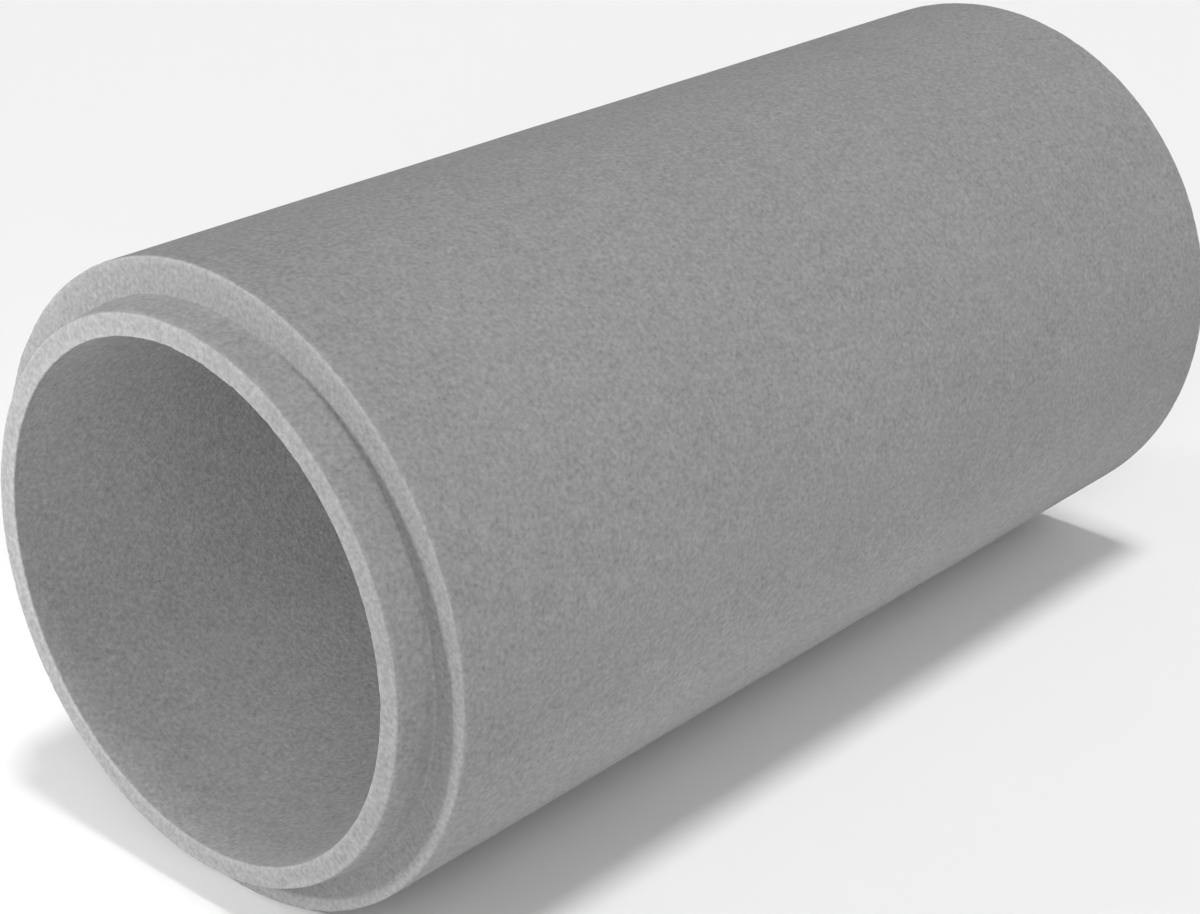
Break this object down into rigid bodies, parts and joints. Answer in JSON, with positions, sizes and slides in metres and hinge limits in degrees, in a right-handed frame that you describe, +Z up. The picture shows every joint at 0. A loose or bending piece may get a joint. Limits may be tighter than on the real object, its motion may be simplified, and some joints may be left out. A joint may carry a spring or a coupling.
{
  "type": "concrete sewer pipe",
  "caption": "Straight round concrete pipe lying on its side, open through its bore, with a tapered tongue on one end and a matching groove in the other for joining like pipes in a drain",
  "frame": {"origin": "on the ground under the middle of the pipe as it lies on its side", "axes": "+X along the pipe's axis from the tongue end to the groove end, +Y level across the pipe, +Z up"},
  "size_m": [1.5, 0.75, 0.7498],
  "materials": {
    "concrete": "smooth matte cast concrete"
  },
  "bodies": {
    "root": {"pipe": "concrete"}
  },
  "joints": []
}
